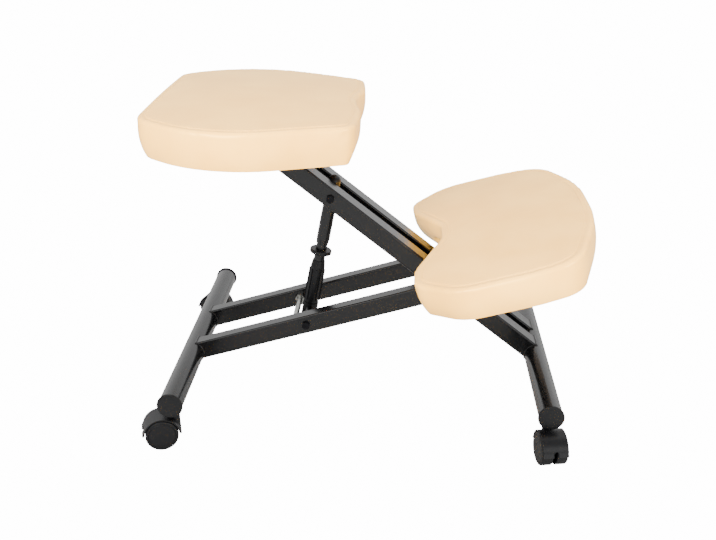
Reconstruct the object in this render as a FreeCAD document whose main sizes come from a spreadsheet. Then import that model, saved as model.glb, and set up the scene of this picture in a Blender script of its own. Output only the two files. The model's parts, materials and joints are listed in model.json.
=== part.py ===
import FreeCAD, Part
import math
import os
import re

import Sketcher
from FreeCAD import Placement, Rotation, Vector

# Kneeling chair on casters: two crossed pairs of steel rails, a seat and a knee cushion on the upper
# pair, and a screw adjuster that opens and closes the cross.
# Millimetres. X points to the knee cushion, Y to the sitter's left, Z up, floor at zero.
# Every size lives in the sheet. The first block of sizes drives the model, the second follows from it.

SIZES = {
    # frame
    "wheelbase": 597.5,
    "tube_height": 82.5,
    "tube_diameter": 38,
    "tube_wall": 1.5,
    "tube_length": 506,
    "cap_diameter": 41.5,
    "cap_rim": 2.5,
    "cap_round": 1.2,
    "cap_dome": 3,
    "cap_plug_length": 14,
    "rail_height": 32,
    "rail_wall": 2,
    "rail_corner": 3,
    "lower_rail_width": 25,
    "lower_rail_angle": 16.8,
    "lower_rail_overrun": 24,
    "upper_rail_width": 35,
    "upper_rail_angle": 38,
    "upper_rail_gap": 28,
    "rail_play": 2.5,
    "plug_rim": 2,
    "plug_depth": 14,
    # main pivot and adjuster joints
    "pivot_bolt_diameter": 10,
    "pivot_sleeve_wall": 3,
    "pivot_washer_diameter": 26,
    "bolt_clearance": 0.05,
    "link_to_pivot": 242.5,
    "link_bolt_diameter": 8,
    "link_spacer_wall": 2.5,
    "head_height_ratio": 0.6,
    "nut_height_ratio": 0.8,
    "hex_ratio": 1.75,
    "washer_gap": 0.2,
    "stay_diameter": 10,
    "stay_behind_bolt": 24,
    # height adjuster
    "foot_diameter": 27,
    "foot_below_bolt": 15,
    "foot_above_bolt": 10.5,
    "foot_post_diameter": 13,
    "foot_post_length": 18,
    "grip_start": 11,
    "grip_length": 81,
    "grip_diameter": 25,
    "grip_neck_diameter": 21.5,
    "grip_shoulder_length": 12,
    "grip_rib_count": 8,
    "grip_rib_width": 5,
    "grip_rib_height": 1.6,
    "grip_rib_margin": 4,
    "grip_bore_diameter": 22,
    "rod_diameter": 19,
    "rod_bore_diameter": 14,
    "rod_start": 45,
    "rod_end": 160,
    "rod_clearance": 0.05,
    "rod_nut_height": 13,
    "collar_diameter": 38,
    "collar_height": 7,
    "collar_start": 106,
    "sleeve_start": 124,
    "sleeve_cone_length": 9,
    "sleeve_diameter": 23,
    "sleeve_past_bolt": 17,
    "sleeve_cap_height": 10,
    "link_hole_play": 0.4,
    # seat
    "seat_reach": 393,
    "seat_tilt": 1.2,
    "seat_rear": 168,
    "seat_front": 171,
    "seat_width": 476,
    "seat_thickness": 60,
    "seat_crown": 7,
    "seat_dip": 14,
    # knee cushion
    "knee_along": 48,
    "knee_rise": 93,
    "knee_tilt": 15.6,
    "knee_rear": 142,
    "knee_front": 166,
    "knee_width": 504,
    "knee_thickness": 56,
    "knee_crown": 6,
    "knee_notch": 54,
    "knee_relief_depth": 24,
    "knee_relief_end": -44,
    # cushion build
    "cushion_top_round": 12,
    "cushion_bottom_round": 8,
    "cushion_draw": 4,
    "board_inset": 14,
    "board_thickness": 12,
    "plate_thickness": 4,
    "seat_plate_length": 150,
    "knee_plate_length": 120,
    "knee_plate_shift": 25,
    "plate_width": 140,
    "plate_corner": 8,
    "screw_inset": 12,
    "screw_hole_clearance": 0.25,
    "post_thickness": 2.5,
    "post_foot_start": 48,
    "post_foot_end": 88,
    "screw_diameter": 6,
    "screw_length": 14,
    "screw_head_height": 4,
    # casters
    "caster_inset": 23,
    "caster_trail": 22,
    "wheel_diameter": 53,
    "wheel_width": 18,
    "wheel_gap": 6.5,
    "wheel_wall": 3,
    "wheel_round": 3,
    "wheel_hub_diameter": 12,
    "hood_radius": 29.6,
    "hood_wall": 2,
    "hood_width": 40,
    "hood_web": 6,
    "hood_flare": 2,
    "hood_flare_height": 8,
    "hood_edge_height": 1.5,
    "stem_play": 0.5,
    "stem_seat_depth": 5,
    "hood_notch_width": 8,
    "hood_notch_height": 10,
    "hood_notch_depth": 10,
    "axle_diameter": 6,
    "stem_diameter": 11,
    "stem_pin_diameter": 4,
    "stem_collar_diameter": 18,
    "stem_collar_height": 3,
    "rear_swivel": 16,
    "front_swivel": 100,
}

FORMULAS = {
    "pivot_x": "=wheelbase * tan(upper_rail_angle) / (tan(lower_rail_angle) + tan(upper_rail_angle))",
    "pivot_z": "=tube_height + pivot_x * tan(lower_rail_angle)",
    "link_length": "=2 * link_to_pivot * sin((lower_rail_angle + upper_rail_angle) / 2)",
    "link_lean": "=(upper_rail_angle - lower_rail_angle) / 2",
    "low_bolt_x": "=pivot_x - link_to_pivot * cos(lower_rail_angle)",
    "low_bolt_z": "=pivot_z - link_to_pivot * sin(lower_rail_angle)",
    "high_bolt_x": "=pivot_x - link_to_pivot * cos(upper_rail_angle)",
    "high_bolt_z": "=pivot_z + link_to_pivot * sin(upper_rail_angle)",
    "seat_x": "=pivot_x - seat_reach * cos(upper_rail_angle)",
    "seat_z": "=pivot_z + seat_reach * sin(upper_rail_angle)",
    "knee_x": "=pivot_x + knee_along * cos(upper_rail_angle) + knee_rise * sin(upper_rail_angle)",
    "knee_z": "=pivot_z - knee_along * sin(upper_rail_angle) + knee_rise * cos(upper_rail_angle)",
    "upper_inner_y": "=upper_rail_gap / 2",
    "upper_outer_y": "=upper_inner_y + upper_rail_width",
    "lower_inner_y": "=upper_outer_y + rail_play",
    "lower_outer_y": "=lower_inner_y + lower_rail_width",
    "lower_rail_length": "=pivot_x / cos(lower_rail_angle) + lower_rail_overrun",
    "upper_front_length": "=(wheelbase - pivot_x) / cos(upper_rail_angle)",
    "stem_y": "=tube_length / 2 - caster_inset",
    "axle_z": "=wheel_diameter / 2",
    "hood_top": "=tube_height - tube_diameter / 2 - stem_collar_height - stem_play",
    "stem_step_z": "=hood_top - stem_seat_depth",
}

doc = FreeCAD.newDocument("kneeling_chair")
sheet = doc.addObject("Spreadsheet::Sheet", "Sizes")
os.makedirs("parts", exist_ok=True)
nodes = []


def write_sheet():
    cells = dict(SIZES)
    cells["origin_x"] = 0
    cells.update(FORMULAS)
    for row, (name, content) in enumerate(cells.items(), start=1):
        sheet.set("A%d" % row, name)
        sheet.set("B%d" % row, str(content))
        sheet.setAlias("B%d" % row, name)
    doc.recompute()
    return set(cells)


NAMES = write_sheet()


def expand(text):
    """Writes a formula of bare size names as an expression on the sheet."""
    return re.sub(r"[a-z]\w+", lambda m: "Sizes." + m[0] if m[0] in NAMES else m[0], str(text))


def value(text):
    """The number that a formula of size names gives."""
    number = sheet.evalExpression(expand(text).replace("Sizes.", ""))
    return float(getattr(number, "Value", number))


def bind(thing, prop, text):
    thing.setExpression(prop, expand(text))


def place(thing, x="0", y="0", z="0", pitch=None, turn=None):
    """Puts a finished piece in the chair: pitch turns it about Y, turn about Z."""
    axis = Vector(0, 0, 1) if turn else Vector(0, 1, 0)
    thing.Placement = Placement(Vector(), Rotation(axis, 1))
    bind(thing, "Placement.Base.x", "origin_x + (%s)" % x)
    bind(thing, "Placement.Base.y", y)
    bind(thing, "Placement.Base.z", z)
    bind(thing, "Placement.Rotation.Angle", turn or pitch or "0")
    nodes.append(thing)
    return thing


def new_body(name):
    body = doc.addObject("PartDesign::Body", name)
    body.Label = name
    return body


def sketch_on(body, name, plane, offset=None):
    sketch = body.newObject("Sketcher::SketchObject", name)
    origin_plane = [o for o in body.Origin.OriginFeatures if o.Role == plane + "_Plane"][0]
    sketch.AttachmentSupport = [(origin_plane, "")]
    sketch.MapMode = "FlatFace"
    if offset is not None:
        bind(sketch, "AttachmentOffset.Base.z", offset)
    return sketch


def constrain(sketch, kind, *parts, to):
    index = sketch.addConstraint(Sketcher.Constraint(kind, *parts, value(to)))
    sketch.setExpression("Constraints[%d]" % index, expand(to))


def pin_point(sketch, edge, point, x, y):
    constrain(sketch, "DistanceX", -1, 1, edge, point, to=x)
    constrain(sketch, "DistanceY", -1, 1, edge, point, to=y)


def circle(sketch, diameter, x="0", y="0"):
    centre = Vector(value(x), value(y), 0)
    edge = sketch.addGeometry(Part.Circle(centre, Vector(0, 0, 1), value(diameter) / 2))
    constrain(sketch, "Diameter", edge, to=diameter)
    pin_point(sketch, edge, 3, x, y)


def arc_between(a, b, radius, side):
    """The arc of a radius from a to b: side 1 bulges to the right of a to b, -1 to the left."""
    chord = b - a
    half = chord.Length / 2
    rise = radius - math.sqrt(max(radius * radius - half * half, 0))
    out = Vector(chord.y, -chord.x, 0).normalize() * side
    return Part.Arc(a, (a + b) / 2 + out * rise, b)


def profile(sketch, points):
    """A closed outline. Each point is (x, y), or (x, y, radius, side) where an arc leads to it."""
    spots = [Vector(value(p[0]), value(p[1]), 0) for p in points]
    for i, point in enumerate(points):
        a, b = spots[i - 1], spots[i]
        if len(point) == 2:
            edge = sketch.addGeometry(Part.LineSegment(a, b))
            ends = (1, 2)
        else:
            edge = sketch.addGeometry(arc_between(a, b, value(point[2]), point[3]))
            ends = (1, 2) if point[3] > 0 else (2, 1)
            constrain(sketch, "Radius", edge, to=point[2])
        pin_point(sketch, edge, ends[1], point[0], point[1])
        pin_point(sketch, edge, ends[0], points[i - 1][0], points[i - 1][1])


def rounded_rectangle(sketch, width, height, corner, x="0", y="0"):
    w, h, r = "(%s) / 2" % width, "(%s) / 2" % height, "(%s)" % corner
    left, right = "%s - %s" % (x, w), "%s + %s" % (x, w)
    low, high = "%s - %s" % (y, h), "%s + %s" % (y, h)
    profile(sketch, [
        ("%s + %s" % (left, r), low, r, 1),
        ("%s - %s" % (right, r), low),
        (right, "%s + %s" % (low, r), r, 1),
        (right, "%s - %s" % (high, r)),
        ("%s - %s" % (right, r), high, r, 1),
        ("%s + %s" % (left, r), high),
        (left, "%s - %s" % (high, r), r, 1),
        (left, "%s + %s" % (low, r)),
    ])


def feature(body, kind, name, sketch, **settings):
    """Adds a pad, pocket, revolution or groove: text settings are formulas."""
    item = body.newObject("PartDesign::" + kind, name)
    item.Profile = sketch
    for prop, setting in settings.items():
        if isinstance(setting, str):
            bind(item, prop, setting)
        else:
            setattr(item, prop, setting)
    sketch.Visibility = False
    body.Tip = item
    return item


def revolve(body, name, points, plane="XZ", about="V_Axis"):
    sketch = sketch_on(body, name + "_profile", plane)
    profile(sketch, points)
    return feature(body, "Revolution", name, sketch, ReferenceAxis=(sketch, [about]), Angle=360.0)


def drill(body, name, diameter, x="0", y="0", plane="XZ"):
    """A round hole right through, square to the plane."""
    sketch = sketch_on(body, name + "_profile", plane)
    circle(sketch, diameter, x, y)
    return feature(body, "Pocket", name, sketch, Type=1, Midplane=True)


def solid_node(name, shape):
    """A piece whose shape is worked out from the sheet: placed afterwards with place()."""
    item = doc.addObject("Part::Feature", name)
    item.Label = name
    item.Shape = shape
    return item


def rod_along_y(radius, y_from, y_to, x=0.0, z=0.0):
    return Part.makeCylinder(radius, y_to - y_from, Vector(x, y_from, z), Vector(0, 1, 0))


def hexagon_along_y(across_corners, y_from, y_to, x=0.0, z=0.0):
    radius = across_corners / 2
    corners = [Vector(x + radius * math.cos(math.radians(60 * i)), y_from,
                      z + radius * math.sin(math.radians(60 * i))) for i in range(7)]
    return Part.Face(Part.makePolygon(corners)).extrude(Vector(0, y_to - y_from, 0))


def bolt_and_nut(prefix, diameter, outer_y, x, z, pitch):
    """A cross bolt with its head on the right outer face and its nut on the left one."""
    d, y = value(diameter), value(outer_y)
    head = d * value("head_height_ratio")
    nut = d * value("nut_height_ratio")
    corners = d * value("hex_ratio")
    past_nut = d / 5
    shank = rod_along_y(d / 2, -y, y + nut + past_nut)
    bolt = shank.fuse(hexagon_along_y(corners, -y - head, -y))
    place(solid_node(prefix + "_bolt", bolt), x, "0", z, pitch=pitch)
    ring = hexagon_along_y(corners, y, y + nut).cut(rod_along_y(d / 2, y, y + nut))
    place(solid_node(prefix + "_nut", ring), x, "0", z, pitch=pitch)


def tube_piece(radius, bore_radius, y_from, y_to):
    return rod_along_y(radius, y_from, y_to).cut(rod_along_y(bore_radius, y_from, y_to))


def pair_node(name, shape, x, z, pitch):
    """The same loose piece on the left and on the right, as one node of two solids."""
    mirrored = shape.mirror(Vector(), Vector(0, 1, 0))
    return place(solid_node(name, Part.makeCompound([shape, mirrored])), x, "0", z, pitch=pitch)


# Frame: cross tubes, their caps, and the two pairs of rails

def cross_tube(name, x):
    body = new_body(name)
    sketch = sketch_on(body, name + "_section", "XZ")
    circle(sketch, "tube_diameter")
    circle(sketch, "tube_diameter - 2 * tube_wall")
    feature(body, "Pad", name + "_pad", sketch, Length="tube_length", Midplane=True)
    for side, sign in (("right", "-"), ("left", "")):
        sketch = sketch_on(body, name + "_socket_" + side, "XY")
        circle(sketch, "stem_diameter", "0", sign + "stem_y")
        feature(body, "Pocket", name + "_socket_cut_" + side, sketch, Length="tube_diameter")
    return place(body, x, "0", "tube_height")


def tube_caps(name, x):
    rim_radius = value("cap_diameter") / 2
    plug_radius = value("tube_diameter / 2 - tube_wall")
    end = value("tube_length") / 2
    rim, dome = value("cap_rim"), value("cap_dome")
    plug = rod_along_y(plug_radius, end - value("cap_plug_length"), end)
    disc = rod_along_y(rim_radius, end, end + rim)
    ball_radius = (rim_radius ** 2 + dome ** 2) / (2 * dome)
    ball = Part.makeSphere(ball_radius, Vector(0, end + rim + dome - ball_radius, 0))
    dome_piece = ball.common(rod_along_y(rim_radius, end + rim, end + rim + dome))
    cap = plug.fuse(disc).fuse(dome_piece).removeSplitter()
    edges = [e for e in cap.Edges if e.BoundBox.YMin > end and e.BoundBox.YLength < rim / 2]
    cap = cap.makeFillet(value("cap_round"), edges)
    hollow = rod_along_y(plug_radius - 2, end - value("cap_plug_length"), end)
    return pair_node(name, cap.cut(hollow), x, "tube_height", "0")


def rail_section(body, name, width, length, start="0"):
    sketch = sketch_on(body, name + "_section", "YZ", start)
    rounded_rectangle(sketch, width, "rail_height", "rail_corner")
    inner = "rail_corner - rail_wall / 2"
    rounded_rectangle(sketch, width + " - 2 * rail_wall", "rail_height - 2 * rail_wall", inner)
    return feature(body, "Pad", name + "_pad", sketch, Length=length)


def lower_rail(name, sign):
    body = new_body(name)
    rail_section(body, name, "lower_rail_width", "lower_rail_length")
    drill(body, name + "_cope", "tube_diameter")
    drill(body, name + "_pivot_hole", "pivot_bolt_diameter", "lower_rail_length - lower_rail_overrun")
    bolt_x = "lower_rail_length - lower_rail_overrun - link_to_pivot"
    drill(body, name + "_link_hole", "link_bolt_diameter", bolt_x)
    y = sign + "(lower_inner_y + lower_rail_width / 2)"
    return place(body, "0", y, "tube_height", pitch="-lower_rail_angle")


def upper_rail(name, sign):
    body = new_body(name)
    start = "-seat_reach - rail_height"
    rail_section(body, name, "upper_rail_width", "upper_front_length - (%s)" % start, start)
    sketch = sketch_on(body, name + "_top_cut_profile", "XZ")
    reach, slope = "-seat_reach", "(upper_rail_angle - seat_tilt)"
    half = "rail_height"
    profile(sketch, [
        ("%s - %s / tan(%s)" % (reach, half, slope), "-" + half),
        ("%s + %s / tan(%s)" % (reach, half, slope), half),
        ("%s - 4 * %s" % (reach, half), half),
        ("%s - 4 * %s" % (reach, half), "-" + half),
    ])
    feature(body, "Pocket", name + "_top_cut", sketch, Type=1, Midplane=True)
    drill(body, name + "_cope", "tube_diameter", "upper_front_length")
    drill(body, name + "_pivot_hole", "pivot_bolt_diameter + 2 * pivot_sleeve_wall")
    drill(body, name + "_link_hole", "link_bolt_diameter", "-link_to_pivot")
    y = sign + "(upper_inner_y + upper_rail_width / 2)"
    return place(body, "pivot_x", y, "pivot_z", pitch="upper_rail_angle")


cross_tube("rear_cross_tube", "0")
cross_tube("front_cross_tube", "wheelbase")
tube_caps("rear_tube_caps", "0")
tube_caps("front_tube_caps", "wheelbase")
for side, sign in (("right", "-"), ("left", "")):
    lower_rail("lower_rail_" + side, sign)
    upper_rail("upper_rail_" + side, sign)


def rail_plugs():
    """Closed ends of the lower rails, in front of the pivot."""
    width, height = value("lower_rail_width"), value("rail_height")
    wall, rim, depth = value("rail_wall"), value("plug_rim"), value("plug_depth")
    start = value("lower_rail_length")
    middle = value("lower_inner_y + lower_rail_width / 2")
    rim_box = Part.makeBox(rim, width, height, Vector(start, middle - width / 2, -height / 2))
    rim_box = rim_box.makeFillet(rim / 2, [e for e in rim_box.Edges if e.BoundBox.XMin > start + rim / 2])
    inner_w, inner_h = width - 2 * wall, height - 2 * wall
    plug = Part.makeBox(depth, inner_w, inner_h, Vector(start - depth, middle - inner_w / 2, -inner_h / 2))
    corner = value("rail_corner - rail_wall / 2")
    plug = plug.makeFillet(corner, [e for e in plug.Edges if e.BoundBox.XLength > depth / 2])
    return pair_node("lower_rail_plugs", rim_box.fuse(plug), "0", "tube_height", "-lower_rail_angle")


rail_plugs()


# Main pivot, adjuster bolts and the stay between the lower rails

def main_pivot():
    x, z = "pivot_x", "pivot_z"
    bolt_and_nut("pivot", "pivot_bolt_diameter", "lower_outer_y", x, z, "-lower_rail_angle")
    bore = value("pivot_bolt_diameter / 2 + bolt_clearance")
    outer = value("pivot_bolt_diameter / 2 + pivot_sleeve_wall")
    end = value("upper_outer_y")
    place(solid_node("pivot_sleeve", tube_piece(outer, bore, -end, end)), x, "0", z, pitch="upper_rail_angle")
    washer_start = end + value("washer_gap")
    washer = tube_piece(value("pivot_washer_diameter") / 2, value("pivot_bolt_diameter") / 2,
                        washer_start, value("lower_inner_y"))
    pair_node("pivot_washers", washer, x, z, "-lower_rail_angle")


def link_bolts():
    bolt_and_nut("lower_link", "link_bolt_diameter", "lower_outer_y",
                 "low_bolt_x", "low_bolt_z", "-lower_rail_angle")
    bolt_and_nut("upper_link", "link_bolt_diameter", "upper_outer_y",
                 "high_bolt_x", "high_bolt_z", "upper_rail_angle")
    bore = value("link_bolt_diameter") / 2
    outer = bore + value("link_spacer_wall")
    low = tube_piece(outer, bore, value("foot_diameter / 2 + washer_gap"), value("lower_inner_y"))
    pair_node("lower_link_spacers", low, "low_bolt_x", "low_bolt_z", "-lower_rail_angle")
    high = tube_piece(outer, bore, value("sleeve_diameter / 2 + washer_gap"), value("upper_inner_y"))
    pair_node("upper_link_spacers", high, "high_bolt_x", "high_bolt_z", "upper_rail_angle")


def cross_stay():
    along = "stay_behind_bolt"
    x = "low_bolt_x - %s * cos(lower_rail_angle)" % along
    z = "low_bolt_z - %s * sin(lower_rail_angle)" % along
    radius, inner = value("stay_diameter") / 2, value("lower_inner_y")
    place(solid_node("cross_stay", rod_along_y(radius, -inner, inner)), x, "0", z, pitch="0")
    height = value("stay_diameter * nut_height_ratio")
    corners = value("stay_diameter * hex_ratio")
    nut = hexagon_along_y(corners, inner - height, inner).cut(rod_along_y(radius, inner - height, inner))
    pair_node("cross_stay_nuts", nut, x, z, "0")


main_pivot()
link_bolts()
cross_stay()


# Height adjuster, drawn upright from the lower bolt and leaned with the link

def on_link(thing):
    return place(thing, "low_bolt_x", "0", "low_bolt_z", pitch="link_lean")


def adjuster_foot():
    body = new_body("adjuster_foot")
    block, post = "foot_diameter / 2", "foot_post_diameter / 2"
    top = "foot_above_bolt + foot_post_length"
    revolve(body, "foot_turned", [
        ("0", "-foot_below_bolt"), (block + " - 2", "-foot_below_bolt"), (block, "-foot_below_bolt + 2"),
        (block, "foot_above_bolt"), (post, "foot_above_bolt"), (post, top), ("0", top)])
    drill(body, "foot_bore", "link_bolt_diameter + 2 * bolt_clearance")
    return on_link(body)


def adjuster_grip():
    """The fluted handle: a sleeve with a sloping shoulder and ribs with round ends."""
    body = new_body("adjuster_grip")
    outer, bore = "grip_diameter / 2", "grip_bore_diameter / 2"
    base, top = "grip_start", "grip_start + grip_length"
    shoulder = top + " - grip_shoulder_length"
    post = "foot_post_diameter / 2 + rod_clearance"
    neck_bore = "rod_diameter / 2 + 4 * rod_clearance"
    floor = "grip_start + foot_post_length / 2"
    revolve(body, "grip_turned", [
        (post, base), (outer, base), (outer, shoulder), ("grip_neck_diameter / 2", top),
        (neck_bore, top), (neck_bore, shoulder), (bore, shoulder), (bore, floor), (post, floor)])
    sketch = sketch_on(body, "grip_rib_profile", "YZ", outer + " - 1")
    half, low = "grip_rib_width / 2", base + " + grip_rib_margin + grip_rib_width / 2"
    high = top + " - grip_shoulder_length - grip_rib_margin - grip_rib_width / 2"
    profile(sketch, [
        (half, high), ("0", high + " + " + half, half, 1), ("-" + half, high, half, 1),
        ("-" + half, low), ("0", low + " - " + half, half, 1), (half, low, half, 1)])
    rib = feature(body, "Pad", "grip_rib", sketch, Length="grip_rib_height + 1")
    pattern = body.newObject("PartDesign::PolarPattern", "grip_ribs")
    pattern.Originals = [rib]
    pattern.Axis = (body.Origin.OriginFeatures[2], [""])
    pattern.Angle = 360
    bind(pattern, "Occurrences", "grip_rib_count")
    body.Tip = pattern
    return on_link(body)


def adjuster_nut():
    body = new_body("adjuster_nut")
    top = "grip_start + grip_length - grip_shoulder_length"
    bore, outer = "rod_diameter / 2 + rod_clearance", "grip_bore_diameter / 2"
    revolve(body, "nut_turned", [(bore, top + " - rod_nut_height"), (outer, top + " - rod_nut_height"),
                                 (outer, top), (bore, top)])
    return on_link(body)


def adjuster_rod():
    body = new_body("adjuster_rod")
    bore, outer = "rod_bore_diameter / 2", "rod_diameter / 2"
    revolve(body, "rod_turned", [(bore, "rod_start"), (outer + " - 1", "rod_start"),
                                 (outer, "rod_start + 1"), (outer, "rod_end"), (bore, "rod_end")])
    return on_link(body)


def adjuster_collar():
    body = new_body("adjuster_collar")
    bore, outer = "rod_diameter / 2", "collar_diameter / 2"
    low, high = "collar_start", "collar_start + collar_height"
    revolve(body, "collar_turned", [
        (bore, low), (outer + " - 1.5", low), (outer, low + " + 1.5", "1.5", 1),
        (outer, high + " - 1.5"), (outer + " - 1.5", high, "1.5", 1), (bore, high)])
    return on_link(body)


def upper_sleeve():
    """The tube that slides with the rod, necked down to it and bored across for the upper bolt."""
    body = new_body("upper_sleeve")
    bore, outer = "rod_diameter / 2", "sleeve_diameter / 2"
    start, top = "sleeve_start", "link_length + sleeve_past_bolt"
    revolve(body, "sleeve_turned", [
        (bore, start), (bore + " + 0.8", start), (outer, start + " + sleeve_cone_length"),
        (outer, top), (bore, top)])
    drill(body, "sleeve_bore", "link_bolt_diameter + 2 * link_hole_play", "0", "link_length")
    return on_link(body)


def sleeve_cap():
    body = new_body("upper_sleeve_cap")
    top = "link_length + sleeve_past_bolt"
    outer, plug = "sleeve_diameter / 2", "rod_diameter / 2"
    dome = "(sleeve_diameter ^ 2 / 4 + sleeve_cap_height ^ 2) / (2 * sleeve_cap_height)"
    revolve(body, "cap_turned", [
        ("0", top + " - 6"), (plug, top + " - 6"), (plug, top), (outer, top),
        ("0", top + " + sleeve_cap_height", dome, 1)])
    return on_link(body)


for make in (adjuster_foot, adjuster_grip, adjuster_nut, adjuster_rod, adjuster_collar, upper_sleeve, sleeve_cap):
    make()


# Cushions, boards and brackets

def half_outline_seat():
    """Corner points and corner radii of the seat's left half, from the rear to the front."""
    rear, front, half = -value("seat_rear"), value("seat_front"), value("seat_width") / 2
    return [
        ((rear, half * 0.71), 62), ((-half * 0.185, half * 1.1), 180), ((front - 4, half * 0.727), 24),
        ((front, half * 0.32), 60), ((front - value("seat_dip"), 0), 150)]


def half_outline_knee():
    """Corner points and corner radii of the knee cushion's left half, from the notch to the front."""
    rear, front, half = -value("knee_rear"), value("knee_front"), value("knee_width") / 2
    notch = rear + value("knee_notch")
    return [
        ((notch, half * 0.11), 80), ((rear + 11, half * 0.545), 60), ((rear, half * 0.75), 32),
        ((-half * 0.3, half), 80), ((half * 0.18, half), 150), ((front - 46, half * 0.955), 60),
        ((front, half * 0.36), 380)]


def offset_corners(corners, inset):
    """Moves every side of a closed outline inwards and corrects its corner radii."""
    moved = []
    count = len(corners)
    for i in range(count):
        before, (here, radius), after = corners[i - 1][0], corners[i], corners[(i + 1) % count][0]
        into = Vector(here[0] - before[0], here[1] - before[1], 0).normalize()
        out = Vector(after[0] - here[0], after[1] - here[1], 0).normalize()
        turn = into.x * out.y - into.y * out.x
        normals = Vector(-into.y, into.x, 0) + Vector(-out.y, out.x, 0)
        shift = normals * (inset / (1 + into.dot(out)))
        new_radius = radius - inset if turn > 0 else radius + inset
        moved.append((Vector(here[0] + shift.x, here[1] + shift.y, 0), new_radius))
    return moved


def rounded_wire(corners, height):
    """A closed wire of lines joined by tangent arcs."""
    count = len(corners)
    ends = []
    for i in range(count):
        here, radius = corners[i]
        into = (here - corners[i - 1][0]).normalize()
        out = (corners[(i + 1) % count][0] - here).normalize()
        half_turn = into.getAngle(out) / 2
        reach = radius * math.tan(half_turn)
        bisector = (out - into).normalize()
        crest = here + bisector * (radius / math.cos(half_turn) - radius)
        ends.append((here - into * reach, crest, here + out * reach))
    edges = []
    for i in range(count):
        edges.append(Part.LineSegment(ends[i - 1][2], ends[i][0]).toShape())
        edges.append(Part.Arc(*ends[i]).toShape())
    wire = Part.Wire(edges)
    wire.translate(Vector(0, 0, height))
    return wire


def full_outline(half):
    """Mirrors a half outline into a closed anticlockwise list of corners."""
    mirrored = [((p[0], -p[1]), r) for p, r in half if p[1] > 0]
    return list(reversed(half)) + mirrored


def plate_from(half, inset, low, high):
    wire = rounded_wire(offset_corners(full_outline(half), inset), low)
    return Part.Face(wire).extrude(Vector(0, 0, high - low))


def cushion(half, thickness, crown, reach):
    """A padded block: walls drawn in towards the base and the top, a crowned top and round rims."""
    draw = value("cushion_draw")
    corners = full_outline(half)
    top = thickness + crown
    levels = [(0, draw), (thickness * 0.45, 0), (top + 1, draw)]
    wires = [rounded_wire(offset_corners(corners, inset), height) for height, inset in levels]
    block = Part.makeLoft(wires, True, False)
    ball_radius = (reach ** 2 + crown ** 2) / (2 * crown)
    ball = Part.makeSphere(ball_radius, Vector(0, 0, top - ball_radius))
    block = block.common(ball)
    faces = sorted(block.Faces, key=lambda face: face.CenterOfMass.z)
    block = block.makeFillet(value("cushion_bottom_round"), faces[0].Edges)
    faces = sorted(block.Faces, key=lambda face: face.CenterOfMass.z)
    return block.makeFillet(value("cushion_top_round"), faces[-1].Edges)


def screw_places(length, middle=0.0):
    x = length / 2 - value("screw_inset")
    y = value("plate_width / 2 - screw_inset")
    return [(middle + x, y), (middle + x, -y), (middle - x, y), (middle - x, -y)]


def holed_plate(length, middle=0.0):
    """A steel plate with round corners, its top at height zero, drilled for its screws."""
    thickness, width = value("plate_thickness"), value("plate_width")
    plate = Part.makeBox(length, width, thickness, Vector(middle - length / 2, -width / 2, -thickness))
    upright = [e for e in plate.Edges if e.BoundBox.ZLength > thickness / 2]
    plate = plate.makeFillet(value("plate_corner"), upright)
    radius = value("screw_diameter / 2 + screw_hole_clearance")
    for x, y in screw_places(length, middle):
        plate = plate.cut(Part.makeCylinder(radius, thickness, Vector(x, y, -thickness)))
    return plate


def screws(name, places):
    radius, length = value("screw_diameter") / 2, value("screw_length")
    head, plate = value("screw_head_height"), value("plate_thickness")
    shapes = []
    for x, y in places:
        shank = Part.makeCylinder(radius, length, Vector(x, y, -plate))
        cap = Part.makeCone(radius * 1.4, radius * 2, head, Vector(x, y, -plate - head))
        shapes.append(shank.fuse(cap))
    return solid_node(name, Part.makeCompound(shapes))


def board_and_screws(prefix, board, places, put):
    """The board that is let into a cushion's base, drilled for its screws."""
    screw_radius = value("screw_diameter") / 2
    sink = value("screw_length - plate_thickness")
    for x, y in places:
        board = board.cut(Part.makeCylinder(screw_radius, sink, Vector(x, y, 0)))
    put(solid_node(prefix + "_board", board))
    put(screws(prefix + "_screws", places))


def seat():
    places = screw_places(value("seat_plate_length"))

    def put(thing):
        x = "seat_x + plate_thickness * sin(seat_tilt)"
        return place(thing, x, "0", "seat_z + plate_thickness * cos(seat_tilt)", pitch="seat_tilt")

    outline = half_outline_seat()
    block = cushion(outline, value("seat_thickness"), value("seat_crown"), value("seat_width") / 2)
    board = plate_from(outline, value("board_inset"), 0, value("board_thickness"))
    put(solid_node("seat_cushion", block.cut(board)))
    board_and_screws("seat", board, places, put)
    put(solid_node("seat_plate", holed_plate(value("seat_plate_length"))))


def knee_pad():
    length, middle = value("knee_plate_length"), value("knee_plate_shift")
    places = screw_places(length, middle)

    def put(thing):
        return place(thing, "knee_x", "0", "knee_z", pitch="-knee_tilt")

    outline = half_outline_knee()
    block = cushion(outline, value("knee_thickness"), value("knee_crown"), value("knee_width") / 2)
    span = 2 * value("lower_outer_y + 2 * rail_play")
    rear = value("knee_rear")
    relief = Part.makeBox(rear + value("knee_relief_end"), span, value("knee_relief_depth"),
                          Vector(-rear, -span / 2, 0))
    board = plate_from(outline, value("board_inset"), 0, value("board_thickness")).cut(relief)
    put(solid_node("knee_cushion", block.cut(relief).cut(board)))
    board_and_screws("knee", board, places, put)
    put(solid_node("knee_plate", holed_plate(length, middle)))
    knee_posts(put)


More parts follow.
